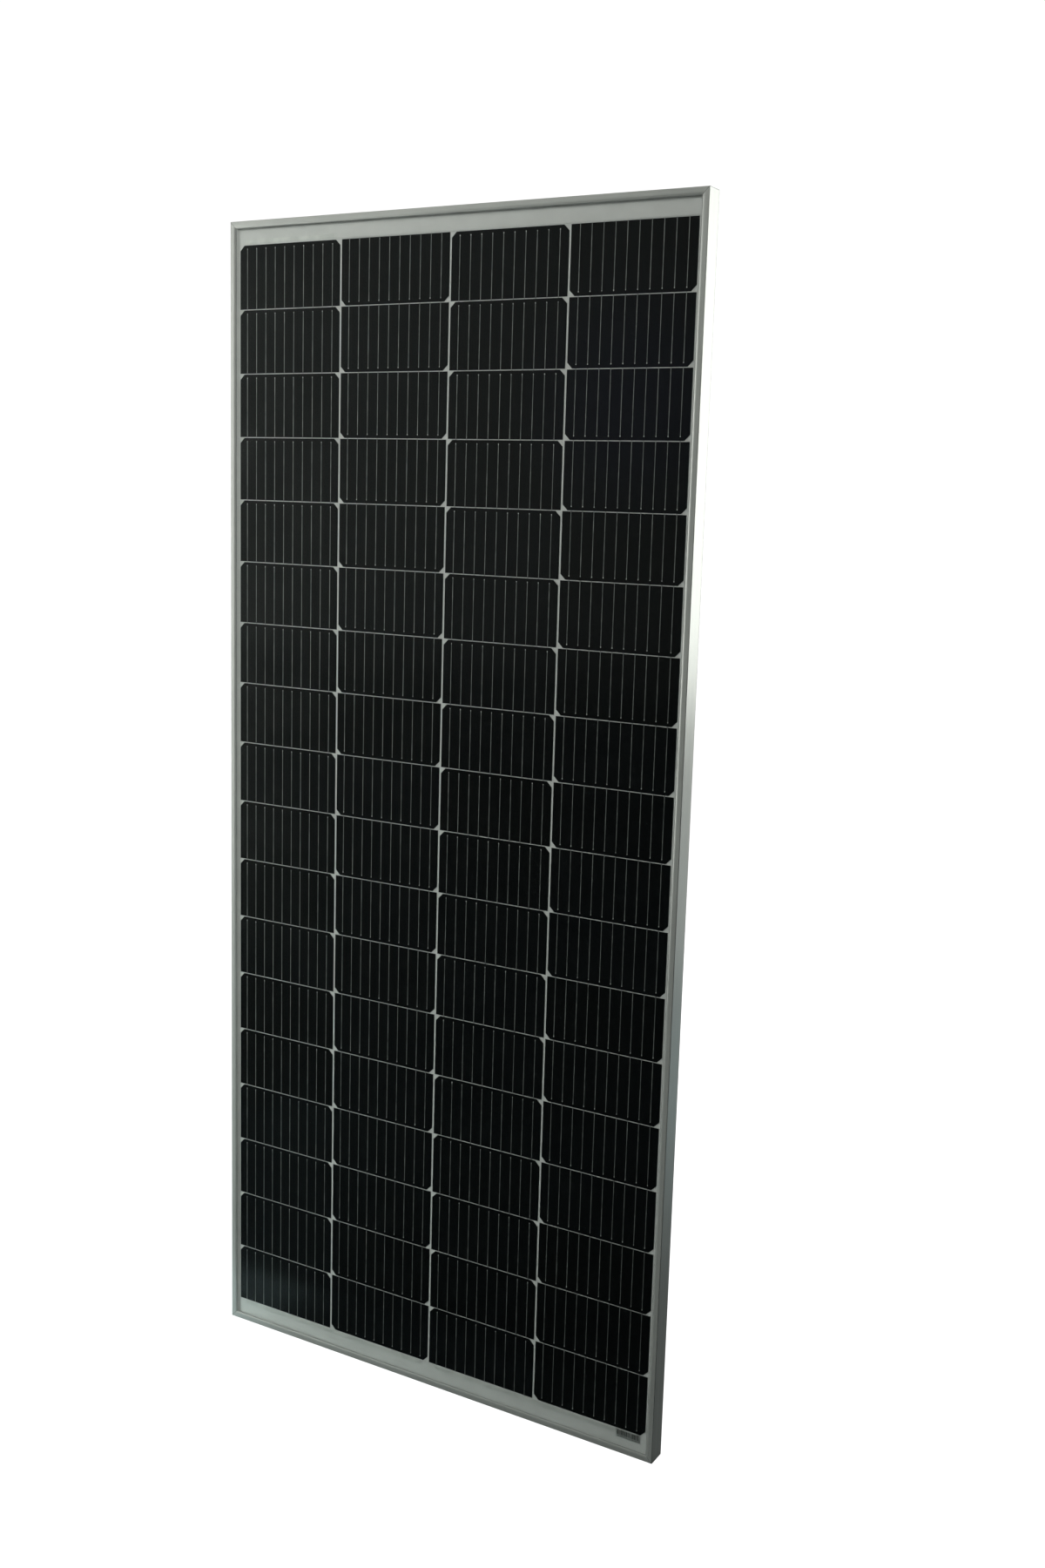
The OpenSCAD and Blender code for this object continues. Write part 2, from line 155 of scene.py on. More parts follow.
def use_group(tree, group, **inputs):
    """Places a group in a material, with its own values. Colours are given as three numbers."""
    made = tree.nodes.new("ShaderNodeGroup")
    made.node_tree = group
    for name, value in inputs.items():
        socket = made.inputs[name.replace("_", " ")]
        if isinstance(value, bpy.types.NodeSocket):
            tree.links.new(value, socket)
        elif socket.type == "RGBA":
            socket.default_value = (*value, 1.0)
        else:
            socket.default_value = value
    return made.outputs


def bare_material(name):
    """A material with no nodes in it yet."""
    material = bpy.data.materials.new(name)
    material.use_nodes = True
    material.node_tree.nodes.clear()
    return material, material.node_tree


def new_finish(name):
    """A material with one Principled shader on its output."""
    material, tree = bare_material(name)
    shader = tree.nodes.new("ShaderNodeBsdfPrincipled")
    add(tree, "ShaderNodeOutputMaterial", {"Surface": shader.outputs[0]})
    return material, tree, shader


def show_mix(tree, share, first, second, output="ShaderNodeOutputMaterial"):
    """Puts a mix of two shaders on the output. At a share of 1 only the second one shows."""
    mixed = add(tree, "ShaderNodeMixShader", {0: share, 1: first.outputs[0], 2: second.outputs[0]})
    add(tree, output, {"Surface": mixed.outputs[0]})


def bump(tree, shader, height, strength, depth):
    """Raises the surface by a height from 0 to 1 times depth in metres."""
    inputs = {"Height": height, "Strength": strength, "Distance": depth}
    made = add(tree, "ShaderNodeBump", inputs)
    tree.links.new(made.outputs["Normal"], shader.inputs["Normal"])


# ---------------------------------------------------------------- shared effects


def make_drawn_lines():
    """Long fine lines that an extrusion die leaves, with slow changes of tone between them."""
    tree, given, out = new_group(
        "drawn lines",
        [
            ("Stretch", "Vector", (1.0, 1.0, 1.0)),
            ("Dark", "Color", (0.5, 0.5, 0.5, 1.0)),
            ("Pale", "Color", (0.7, 0.7, 0.7, 1.0)),
            ("Smooth", "Float", 0.3),
            ("Rough", "Float", 0.5),
        ],
        [("Color", "Color"), ("Roughness", "Float"), ("Height", "Float")],
    )
    point = place(tree)
    pulled = {0: point, 1: given["Stretch"]}
    drawn = add(tree, "ShaderNodeVectorMath", pulled, operation="MULTIPLY").outputs[0]
    fine = noise(tree, drawn, 1.0, 3.0, 0.6)
    broad = noise(tree, drawn, 0.16, 1.0)
    cloud = noise(tree, point, 9.0, 3.0, 0.6)
    lines = mix_of(tree, fine, 0.6, broad, 0.4)
    tone = mix_of(tree, lines, 0.65, cloud, 0.35)
    share = remap(tree, tone, 0.32, 0.68, 0.0, 1.0)
    tree.links.new(blend(tree, share, given["Dark"], given["Pale"]), out["Color"])
    worn = stretch_range(tree, tone, 0.3, 0.7, given["Smooth"], given["Rough"])
    tree.links.new(worn, out["Roughness"])
    tree.links.new(lines, out["Height"])
    return tree


def make_moulded_grain():
    """Fine spark-eroded grain of a moulded or cast surface, with slight blotches."""
    tree, given, out = new_group(
        "moulded grain",
        [
            ("Grains per metre", "Float", 2500.0),
            ("Dark", "Color", (0.02, 0.02, 0.02, 1.0)),
            ("Pale", "Color", (0.05, 0.05, 0.05, 1.0)),
            ("Smooth", "Float", 0.4),
            ("Rough", "Float", 0.6),
        ],
        [("Color", "Color"), ("Roughness", "Float"), ("Height", "Float")],
    )
    point = place(tree)
    pits = {"Vector": point, "Scale": given["Grains per metre"]}
    cells = add(tree, "ShaderNodeTexVoronoi", pits, feature="SMOOTH_F1").outputs["Distance"]
    specks = noise(tree, point, 1600.0, 2.0)
    blotch = noise(tree, point, 34.0, 4.0, 0.62)
    grain = mix_of(tree, cells, 0.6, specks, 0.4)
    share = remap(tree, blotch, 0.3, 0.7, 0.0, 1.0)
    tree.links.new(blend(tree, share, given["Dark"], given["Pale"]), out["Color"])
    mixed = mix_of(tree, blotch, 0.6, specks, 0.4)
    worn = stretch_range(tree, mixed, 0.3, 0.7, given["Smooth"], given["Rough"])
    tree.links.new(worn, out["Roughness"])
    tree.links.new(grain, out["Height"])
    return tree


def make_settled_dust():
    """Pale dust on whatever faces up, thicker in patches."""
    tree, given, out = new_group(
        "settled dust",
        [("Color", "Color", (0.5, 0.5, 0.5, 1.0)), ("Amount", "Float", 0.3)],
        [("Color", "Color"), ("Mask", "Float")],
    )
    normal = add(tree, "ShaderNodeNewGeometry").outputs["Normal"]
    upward = add(tree, "ShaderNodeSeparateXYZ", {0: normal}).outputs["Z"]
    patches = remap(tree, noise(tree, place(tree), 60.0, 5.0, 0.65), 0.35, 0.7, 0.15, 1.0)
    mask = sum_of(tree, "MULTIPLY", remap(tree, upward, 0.35, 0.95, 0.0, 1.0), patches)
    mask = sum_of(tree, "MULTIPLY", mask, given["Amount"], clamp=True)
    tree.links.new(blend(tree, mask, given["Color"], (0.46, 0.44, 0.40)), out["Color"])
    tree.links.new(mask, out["Mask"])
    return tree


def make_mitre_seam(half_width, half_height):
    """Where two rails meet on the slant: 1 on the cut line, 0 away from it."""
    tree, given, out = new_group("mitre seam", [("Width", "Float", 0.0003)], [("Mask", "Float")])
    point = add(tree, "ShaderNodeSeparateXYZ", {0: place(tree)}).outputs
    from_side = sum_of(tree, "SUBTRACT", half_width, sum_of(tree, "ABSOLUTE", point["X"]))
    from_end = sum_of(tree, "SUBTRACT", half_height, sum_of(tree, "ABSOLUTE", point["Z"]))
    off_line = sum_of(tree, "ABSOLUTE", sum_of(tree, "SUBTRACT", from_side, from_end))
    share = sum_of(tree, "DIVIDE", off_line, given["Width"])
    tree.links.new(sum_of(tree, "SUBTRACT", 1.0, share, clamp=True), out["Mask"])
    return tree


def make_painted_edge_shade(half_width, half_height):
    """Painted shade on the sharp outer arrises of the frame at its rear and its two ends, standing in for
    the shade along those edges: 1 on them, 0 away from them.
    """
    tree, given, out = new_group("painted edge shade", [("Width", "Float", 0.0004)], [("Mask", "Float")])
    point = add(tree, "ShaderNodeSeparateXYZ", {0: place(tree)}).outputs
    from_side = sum_of(tree, "SUBTRACT", half_width, sum_of(tree, "ABSOLUTE", point["X"]))
    from_end = sum_of(tree, "SUBTRACT", half_height, sum_of(tree, "ABSOLUTE", point["Z"]))
    from_rear = sum_of(tree, "MULTIPLY", point["Y"], -1.0)
    corner_line = sum_of(tree, "MAXIMUM", from_side, from_end)
    outer_wall = sum_of(tree, "MINIMUM", from_side, from_end)
    rear_line = sum_of(tree, "MAXIMUM", from_rear, outer_wall)
    nearest = sum_of(tree, "MINIMUM", corner_line, rear_line)
    share = sum_of(tree, "DIVIDE", nearest, given["Width"])
    tree.links.new(sum_of(tree, "SUBTRACT", 1.0, share, clamp=True), out["Mask"])
    return tree


DRAWN_LINES = make_drawn_lines()
MOULDED_GRAIN = make_moulded_grain()
SETTLED_DUST = make_settled_dust()
HALF_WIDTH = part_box("frame_rail_right")[1].x
HALF_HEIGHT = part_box("frame_rail_top")[1].z
MITRE_SEAM = make_mitre_seam(HALF_WIDTH, HALF_HEIGHT)
# Painted shade: a dark line along the frame's outer rear and corner edges.
PAINTED_EDGE_SHADE = make_painted_edge_shade(HALF_WIDTH, HALF_HEIGHT)

# ---------------------------------------------------------------- finishes


def anodised_aluminium(name, stretch):
    """Satin silver anodising over drawn aluminium. Mitres show as dark joint hairlines, and a painted shade
    line runs along the outer rear and corner edges.
    """
    seam_width = 0.45 * MM
    # The next two lines set the width and depth of the painted shade along the outer edges.
    edge_shade_width = 1.3 * MM
    edge_shade_depth = 0.95
    metal_share = 0.45
    material, tree, shader = new_finish(name)
    drawn = use_group(
        tree, DRAWN_LINES, Stretch=stretch,
        Dark=(0.65, 0.67, 0.635), Pale=(0.74, 0.76, 0.72), Smooth=0.27, Rough=0.36,
    )
    dusty = use_group(tree, SETTLED_DUST, Color=drawn["Color"], Amount=0.25)
    seam = use_group(tree, MITRE_SEAM, Width=seam_width)["Mask"]
    # Painted shade along the outer rear and corner edges, not a mark on the metal.
    edge_shade = use_group(tree, PAINTED_EDGE_SHADE, Width=edge_shade_width)["Mask"]
    edge_shade = sum_of(tree, "MULTIPLY", edge_shade, edge_shade_depth)
    # One dark colour serves both the mitre joints and the painted edge shade.
    colour = blend(tree, sum_of(tree, "MAXIMUM", seam, edge_shade), dusty["Color"], (0.10, 0.11, 0.105))
    tree.links.new(colour, shader.inputs["Base Color"])
    tree.links.new(drawn["Roughness"], shader.inputs["Roughness"])
    clean = sum_of(tree, "SUBTRACT", 1.0, dusty["Mask"])
    tree.links.new(sum_of(tree, "MULTIPLY", clean, metal_share), shader.inputs["Metallic"])
    bump(tree, shader, drawn["Height"], 0.25, 0.06 * MM)
    return material


def mill_aluminium():
    """Bare sawn and machined aluminium of the corner keys."""
    material, tree, shader = new_finish("mill aluminium")
    drawn = use_group(
        tree, DRAWN_LINES, Stretch=(900.0, 900.0, 60.0),
        Dark=(0.48, 0.49, 0.50), Pale=(0.66, 0.67, 0.68), Smooth=0.35, Rough=0.6,
    )
    tree.links.new(drawn["Color"], shader.inputs["Base Color"])
    tree.links.new(drawn["Roughness"], shader.inputs["Roughness"])
    shader.inputs["Metallic"].default_value = 0.9
    bump(tree, shader, drawn["Height"], 0.4, 0.08 * MM)
    return material


def moulded(name, dark, pale, smooth, rough, grains, depth, dust=0.0, specular=0.5):
    """A moulded, cast or pressed finish: plastic, rubber, sealant, resin, film or paper."""
    material, tree, shader = new_finish(name)
    grain = use_group(
        tree, MOULDED_GRAIN, Grains_per_metre=grains, Dark=dark, Pale=pale, Smooth=smooth, Rough=rough,
    )
    colour = grain["Color"]
    if dust:
        colour = use_group(tree, SETTLED_DUST, Color=colour, Amount=dust)["Color"]
    tree.links.new(colour, shader.inputs["Base Color"])
    tree.links.new(grain["Roughness"], shader.inputs["Roughness"])
    shader.inputs["Specular IOR Level"].default_value = specular
    bump(tree, shader, grain["Height"], 0.35, depth)
    return material


def tinned_metal(name, dark, pale, metallic, taped_past=None):
    """Hot-tinned strip, slightly wavy with dull patches. Past the height taped_past, white tape hides it."""
    material, tree, shader = new_finish(name)
    point = place(tree)
    waves = noise(tree, point, 420.0, 3.0, 0.6)
    dull = remap(tree, noise(tree, point, 55.0, 3.0), 0.35, 0.65, 0.0, 1.0)
    colour = blend(tree, dull, dark, pale)
    if taped_past is None:
        shader.inputs["Metallic"].default_value = metallic
    else:
        height = sum_of(tree, "ABSOLUTE", add(tree, "ShaderNodeSeparateXYZ", {0: point}).outputs["Z"])
        taped = remap(tree, height, taped_past, taped_past + 0.4 * MM, 0.0, 0.92)
        colour = blend(tree, taped, colour, (0.83, 0.835, 0.83))
        bare = sum_of(tree, "SUBTRACT", 1.0, taped)
        tree.links.new(sum_of(tree, "MULTIPLY", bare, metallic), shader.inputs["Metallic"])
    tree.links.new(colour, shader.inputs["Base Color"])
    tree.links.new(remap(tree, waves, 0.3, 0.7, 0.28, 0.5), shader.inputs["Roughness"])
    bump(tree, shader, waves, 0.4, 0.05 * MM)
    return material


FINGER_PITCH = 1.3 * MM


def silicon_cell(pitch_x, pitch_z, top_z, blue_patch):
    """Blue-black etched silicon with hair-thin printed silver lines. No two cells are quite alike."""
    material, tree, shader = new_finish("silicon cell")
    point = place(tree)
    parts = add(tree, "ShaderNodeSeparateXYZ", {0: point}).outputs
    column = sum_of(tree, "FLOOR", sum_of(tree, "DIVIDE", parts["X"], pitch_x))
    below_top = sum_of(tree, "SUBTRACT", top_z, parts["Z"])
    row = sum_of(tree, "FLOOR", sum_of(tree, "DIVIDE", below_top, pitch_z))
    index = add(tree, "ShaderNodeCombineXYZ", {"X": column, "Y": row}).outputs[0]
    lot = add(tree, "ShaderNodeTexWhiteNoise", {"Vector": index}, noise_dimensions="3D").outputs
    etched = noise(tree, point, 900.0, 2.0)
    clouds = noise(tree, point, 22.0, 3.0, 0.55)
    shade = mix_of(tree, lot["Value"], 0.6, clouds, 0.4)
    silicon = blend(tree, shade, (0.0014, 0.0018, 0.0019), (0.0021, 0.0029, 0.0040))
    patch = add(tree, "ShaderNodeVectorMath", {0: point, 1: blue_patch}, operation="DISTANCE")
    from_patch = patch.outputs["Value"]
    bluish = remap(tree, from_patch, 0.02, 0.20, 0.8, 0.0)
    silicon = blend(tree, bluish, silicon, (0.0018, 0.0022, 0.0090))
    wave = sum_of(tree, "FRACT", sum_of(tree, "DIVIDE", parts["Z"], FINGER_PITCH))
    middle = sum_of(tree, "ABSOLUTE", sum_of(tree, "SUBTRACT", wave, 0.5))
    finger = remap(tree, middle, 0.020, 0.034, 1.0, 0.0)
    colour = blend(tree, finger, silicon, (0.046, 0.050, 0.052))
    tree.links.new(colour, shader.inputs["Base Color"])
    tree.links.new(remap(tree, etched, 0.3, 0.7, 0.32, 0.48), shader.inputs["Roughness"])
    shader.inputs["Specular IOR Level"].default_value = 0.08
    bump(tree, shader, sum_of(tree, "ADD", finger, sum_of(tree, "MULTIPLY", etched, 0.3)), 0.3, 0.02 * MM)
    return material


def clear_glass():
    """Low-iron rolled glass with a soft matt front: a mirror only as strong as glass is at each angle."""
    material, tree = bare_material("rolled glass")
    point = place(tree)
    rolled = noise(tree, point, 520.0, 2.0)
    waves = noise(tree, point, 14.0, 2.0)
    height = sum_of(tree, "ADD", sum_of(tree, "MULTIPLY", rolled, 0.5), waves)
    surface = add(tree, "ShaderNodeBump", {"Height": height, "Strength": 0.12, "Distance": 0.1 * MM})
    coat = {"Color": (0.95, 1.0, 0.97, 1.0), "Normal": surface.outputs[0]}
    mirror = add(tree, "ShaderNodeBsdfAnisotropic", coat)
    tree.links.new(remap(tree, waves, 0.3, 0.7, 0.10, 0.16), mirror.inputs["Roughness"])
    through = add(tree, "ShaderNodeBsdfTransparent", {"Color": (0.978, 0.985, 0.974, 1.0)})
    gloss = add(tree, "ShaderNodeFresnel", {"IOR": 1.45})
    behind = add(tree, "ShaderNodeNewGeometry").outputs["Backfacing"]
    share = sum_of(tree, "MULTIPLY", gloss.outputs[0], sum_of(tree, "SUBTRACT", 1.0, behind))
    show_mix(tree, share, through, mirror)
    return material


def cured_film():
    """Cured clear film under the glass, with the faintest haze."""
    material, tree = bare_material("cured film")
    haze = remap(tree, noise(tree, place(tree), 30.0, 3.0), 0.3, 0.7, 0.0008, 0.002)
    through = add(tree, "ShaderNodeBsdfTransparent", {"Color": (0.995, 1.0, 0.997, 1.0)})
    milk = add(tree, "ShaderNodeBsdfDiffuse", {"Color": (0.72, 0.80, 0.78, 1.0)})
    show_mix(tree, haze, through, milk)
    return material


CELL_LO, CELL_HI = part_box("cell_string_1")
NEXT_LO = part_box("cell_string_2")[0]
ROWS = 18
CELL_H = 91 * MM
STRING_PITCH = NEXT_LO.x - CELL_LO.x
ROW_PITCH = (CELL_HI.z - CELL_LO.z - CELL_H) / (ROWS - 1)

UPRIGHT = anodised_aluminium("anodised, drawn upright", (900.0, 900.0, 5.0))
ACROSS = anodised_aluminium("anodised, drawn across", (5.0, 900.0, 900.0))
KEY_METAL = mill_aluminium()
GLASS = clear_glass()
FILM = cured_film()
BLUE_PATCH = (1.5 * STRING_PITCH, CELL_LO.y, CELL_HI.z - 2.4 * ROW_PITCH)
CELL = silicon_cell(STRING_PITCH, ROW_PITCH, CELL_HI.z, BLUE_PATCH)
TAPED_PAST = CELL_HI.z + 0.2 * MM
TAB = tinned_metal("tinned tab", (0.28, 0.30, 0.295), (0.42, 0.44, 0.43), 0.5, taped_past=TAPED_PAST)
BUS = tinned_metal("tinned bus strip", (0.74, 0.755, 0.74), (0.86, 0.87, 0.85), 0.15)
SOLDER = tinned_metal("solder", (0.78, 0.80, 0.80), (0.92, 0.93, 0.93), 0.3)
SPRING = tinned_metal("spring steel", (0.42, 0.42, 0.43), (0.58, 0.58, 0.60), 0.9)
COPPER = tinned_metal("tinned copper terminal", (0.60, 0.50, 0.40), (0.74, 0.70, 0.64), 0.9)
SEALANT = moulded(
    "edge sealant", dark=(0.30, 0.31, 0.30), pale=(0.38, 0.39, 0.38),
    smooth=0.35, rough=0.6, grains=900.0, depth=0.10 * MM,
)
WHITE_FILM = moulded(
    "white film", dark=(0.785, 0.79, 0.785), pale=(0.84, 0.845, 0.84),
    smooth=0.55, rough=0.75, grains=1400.0, depth=0.03 * MM, specular=0.2,
)
WHITE_STRIP = moulded(
    "white insulation", dark=(0.80, 0.805, 0.80), pale=(0.85, 0.855, 0.85),
    smooth=0.5, rough=0.7, grains=1400.0, depth=0.03 * MM, specular=0.2,
)
BACKSHEET = moulded(
    "white backsheet", dark=(0.81, 0.815, 0.805), pale=(0.84, 0.845, 0.835),
    smooth=0.5, rough=0.62, grains=700.0, depth=0.06 * MM, dust=0.2, specular=0.3,
)
LABEL = moulded(
    "label stock", dark=(0.80, 0.81, 0.79), pale=(0.86, 0.87, 0.85),
    smooth=0.3, rough=0.45, grains=2200.0, depth=0.02 * MM, specular=0.35,
)
CODE_STOCK = moulded(
    "code label stock", dark=(0.58, 0.60, 0.59), pale=(0.64, 0.66, 0.65),
    smooth=0.4, rough=0.55, grains=2200.0, depth=0.02 * MM, specular=0.2,
)
CODE_INK = moulded(
    "faded ink", dark=(0.080, 0.084, 0.082), pale=(0.12, 0.125, 0.12),
    smooth=0.4, rough=0.55, grains=2600.0, depth=0.01 * MM, specular=0.2,
)
INK = moulded(
    "printed ink", dark=(0.022, 0.023, 0.025), pale=(0.04, 0.042, 0.044),
    smooth=0.35, rough=0.55, grains=2600.0, depth=0.01 * MM,
)
SILICONE = moulded(
    "cured silicone", dark=(0.70, 0.72, 0.71), pale=(0.80, 0.81, 0.80),
    smooth=0.3, rough=0.45, grains=500.0, depth=0.2 * MM, dust=0.4,
)
BOX_BLACK = moulded(
    "box plastic", dark=(0.013, 0.014, 0.015), pale=(0.024, 0.025, 0.027),
    smooth=0.42, rough=0.60, grains=1900.0, depth=0.07 * MM, dust=0.5,
)
LID_BLACK = moulded(
    "lid plastic", dark=(0.015, 0.016, 0.017), pale=(0.027, 0.028, 0.030),
    smooth=0.40, rough=0.58, grains=2100.0, depth=0.07 * MM, dust=0.5,
)
NUT_BLACK = moulded(
    "nut plastic", dark=(0.016, 0.017, 0.018), pale=(0.028, 0.029, 0.031),
    smooth=0.35, rough=0.50, grains=2300.0, depth=0.05 * MM, dust=0.5,
)
RUBBER = moulded(
    "seal rubber", dark=(0.020, 0.020, 0.020), pale=(0.036, 0.036, 0.036),
    smooth=0.6, rough=0.85, grains=1300.0, depth=0.08 * MM, dust=0.4,
)
EPOXY = moulded(
    "moulded epoxy", dark=(0.014, 0.014, 0.015), pale=(0.026, 0.026, 0.028),
    smooth=0.35, rough=0.5, grains=2600.0, depth=0.04 * MM,
)

FINISHES = (
    (UPRIGHT, ("frame_rail_left", "frame_rail_right")),
    (ACROSS, ("frame_rail_top", "frame_rail_bottom")),
    (KEY_METAL, (
        "corner_key_top_left", "corner_key_top_right", "corner_key_bottom_left",
        "corner_key_bottom_right",
    )),
    (SEALANT, ("edge_seal",)),
    (GLASS, ("front_glass",)),
    (FILM, ("front_film",)),
    (WHITE_FILM, ("rear_film",)),
    (BACKSHEET, ("backsheet",)),
    (CELL, ("cell_string_1", "cell_string_2", "cell_string_3", "cell_string_4")),
    (TAB, ("tab_ribbons_1", "tab_ribbons_2", "tab_ribbons_3", "tab_ribbons_4")),
    (BUS, (
        "bus_lead_left", "bus_lead_right", "bus_link_top", "bus_link_bottom_left",
        "bus_link_bottom_right", "lead_ribbons",
    )),
    (WHITE_STRIP, ("insulating_strip", "bus_tapes", "lead_patch")),
    (CODE_STOCK, ("code_label",)),
    (LABEL, ("rating_label",)),
    (SILICONE, ("box_adhesive",)),
    (BOX_BLACK, ("box_base",)),
    (LID_BLACK, ("box_lid",)),
    (RUBBER, ("box_gasket", "gland_seal_left", "gland_seal_right")),
    (SPRING, ("hinge_pin", "ribbon_clips")),
    (COPPER, ("terminal_left", "terminal_middle", "terminal_right")),
    (EPOXY, ("bypass_diode_left", "bypass_diode_right")),
    (NUT_BLACK, ("gland_nut_left", "gland_nut_right")),
)

for finish, node_names in FINISHES:
    for node_name in node_names:
        slots = NODES[node_name].data.materials
        slots.clear()
        slots.append(finish)

# The left rail and the sealant throw no shadow either, so that the margin beside them stays pale.
for shadowless in ("front_glass", "front_film", "edge_seal", "frame_rail_left"):
    NODES[shadowless].visible_shadow = False

# ---------------------------------------------------------------- small pieces


def piece(name, bm, finish, body="panel"):
    """Turns a finished bmesh into a named piece that rides on a body."""
    bmesh.ops.recalc_face_normals(bm, faces=bm.faces)
    mesh = bpy.data.meshes.new(name)
    bm.to_mesh(mesh)
    bm.free()
    mesh.materials.append(finish)
    made = bpy.data.objects.new(name, mesh)
    bpy.context.scene.collection.objects.link(made)
    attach(made, body)
    return made


def print_bar(bm, x0, x1, z0, z1, y, thick):
    """A printed bar: a thin raised plate whose front edges are drawn in a little."""
    soft = min(thick, 0.2 * (x1 - x0), 0.2 * (z1 - z0))
    ring = [(x0, z0), (x1, z0), (x1, z1), (x0, z1)]
    low = [bm.verts.new((x, y, z)) for x, z in ring]
    inset = [(x0 + soft, z0 + soft), (x1 - soft, z0 + soft), (x1 - soft, z1 - soft), (x0 + soft, z1 - soft)]
    top = [bm.verts.new((x, y + thick, z)) for x, z in inset]
    bm.faces.new(low)
    bm.faces.new(top)
    for i in range(4):
        j = (i + 1) % 4
        bm.faces.new((low[i], low[j], top[j], top[i]))


def make_code_bars():
    """Bars of random widths on the small label at the bottom corner, over a row of plain ticks."""
    lo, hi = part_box("code_label")
    rng = random.Random(7)
    bm = bmesh.new()
    margin = 2.0 * MM
    thick = 0.02 * MM
    bar_widths = (0.35, 0.35, 0.7, 1.05)
    bar_gaps = (0.35, 0.35, 0.7)
    tick_widths = (0.7, 0.9, 1.1)
    tick_pitch = 2.0 * MM
    tick_low = lo.z + 1.1 * MM
    tick_top = lo.z + 2.4 * MM
    x = lo.x + margin
    right = hi.x - margin
    bar_top = hi.z - 0.8 * MM
    bar_low = bar_top - 7.6 * MM
    while x < right - 1.3 * MM:
        wide = rng.choice(bar_widths) * MM
        print_bar(bm, x, x + wide, bar_low, bar_top, lo.y, -thick)
        x += wide + rng.choice(bar_gaps) * MM
    tick = lo.x + 3.0 * MM
    while tick < right - tick_pitch:
        wide = rng.choice(tick_widths) * MM
        print_bar(bm, tick, tick + wide, tick_low, tick_top, lo.y, -thick)
        tick += tick_pitch
    return piece("code_bars", bm, CODE_INK)


def make_rating_rules():
    """A plain ruled table on the rear label, with short blocks where print would go."""
    lo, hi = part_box("rating_label")
    rng = random.Random(11)
    bm = bmesh.new()
    rule = 0.35 * MM
    edge = 2.5 * MM
    left, right, low, top = lo.x + edge, hi.x - edge, lo.z + edge, hi.z - edge
    face, thick = hi.y, 0.02 * MM
    for z in (low, top - rule):
        print_bar(bm, left, right, z, z + rule, face, thick)
    for x in (left, right - 0.52 * (right - left), right - rule):
        print_bar(bm, x, x + rule, low, top, face, thick)
    rows = 9
    step = (top - low) / rows
    for i in range(1, rows):
        print_bar(bm, left, right, low + i * step, low + i * step + 0.5 * rule, face, thick)
    for i in range(rows):
        z = low + i * step + 0.36 * step
        for start, room in ((right - 2 * MM, 0.42), (right - 0.55 * (right - left), 0.36)):
            x = start
            end = start - rng.uniform(0.4, 1.0) * room * (right - left)
            while x - 1.0 * MM > end:
                wide = rng.uniform(2.0, 5.0) * MM
                print_bar(bm, max(x - wide, end), x, z, z + 0.3 * step, face, thick)
                x -= wide + 1.0 * MM
    return piece("rating_rules", bm, INK)


def dome(bm, x, z, y, rx, rz, rise, sides=8):
    """A low drop of solder, wider than it is high, bulging towards -Y."""
    rings = []
    for ring_share, height in ((1.0, 0.0), (0.72, 0.62), (0.34, 0.93)):
        ring = []
        for k in range(sides):
            turn = 2 * math.pi * k / sides
            across = x + rx * ring_share * math.cos(turn)
            up = z + rz * ring_share * math.sin(turn)
            ring.append(bm.verts.new((across, y - rise * height, up)))
        rings.append(ring)
    tip = bm.verts.new((x, y - rise, z))
    for inner, outer in zip(rings[1:], rings):
        for k in range(sides):
            j = (k + 1) % sides
            bm.faces.new((outer[k], outer[j], inner[j], inner[k]))
    for k in range(sides):
        bm.faces.new((rings[-1][k], rings[-1][(k + 1) % sides], tip))
    bm.faces.new(list(reversed(rings[0])))


def make_solder_drops(string):
    """A bright solder drop where each ribbon starts on its cell."""
    rng = random.Random(20 + string)
    cells_lo, cells_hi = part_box(f"cell_string_{string}")
    tabs_lo, tabs_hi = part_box(f"tab_ribbons_{string}")
    ribbons = 10
    ribbon_w = 0.8 * MM
    inset = 5.3 * MM
    rise = 0.08 * MM
    foot = cells_lo.y - 0.19 * MM
    pitch = (tabs_hi.x - tabs_lo.x - ribbon_w) / (ribbons - 1)
    starts_high = string % 2 == 1
    bm = bmesh.new()
    for row in range(ROWS):
        top = cells_hi.z - row * ROW_PITCH
        z = top - inset if starts_high else top - CELL_H + inset
        for i in range(ribbons):
            x = tabs_lo.x + ribbon_w / 2 + i * pitch
            wide = rng.uniform(0.55, 0.75) * MM
            dome(bm, x, z, foot, wide, 1.3 * wide, rise)
    return piece(f"solder_drops_{string}", bm, SOLDER)


def make_top_cover():
    """A white tape inside the clear film, laid over the bus ribbons and ribbon ends in the top margin."""
    above_cells = 1.4 * MM
    width = 17.0 * MM
    thick = 0.02 * MM
    left = NEXT_LO.x - 9.0 * MM
    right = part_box("rear_film")[1].x - 2.0 * MM
    low = CELL_HI.z + above_cells
    rear_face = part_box("tab_ribbons_1")[0].y - thick
    bm = bmesh.new()
    print_bar(bm, left, right, low, low + width, rear_face, -thick)
    return piece("top_margin_tape", bm, WHITE_STRIP)


make_code_bars()
make_rating_rules()
make_top_cover()
for string_number in range(1, 5):
    make_solder_drops(string_number)

# ---------------------------------------------------------------- floor and light


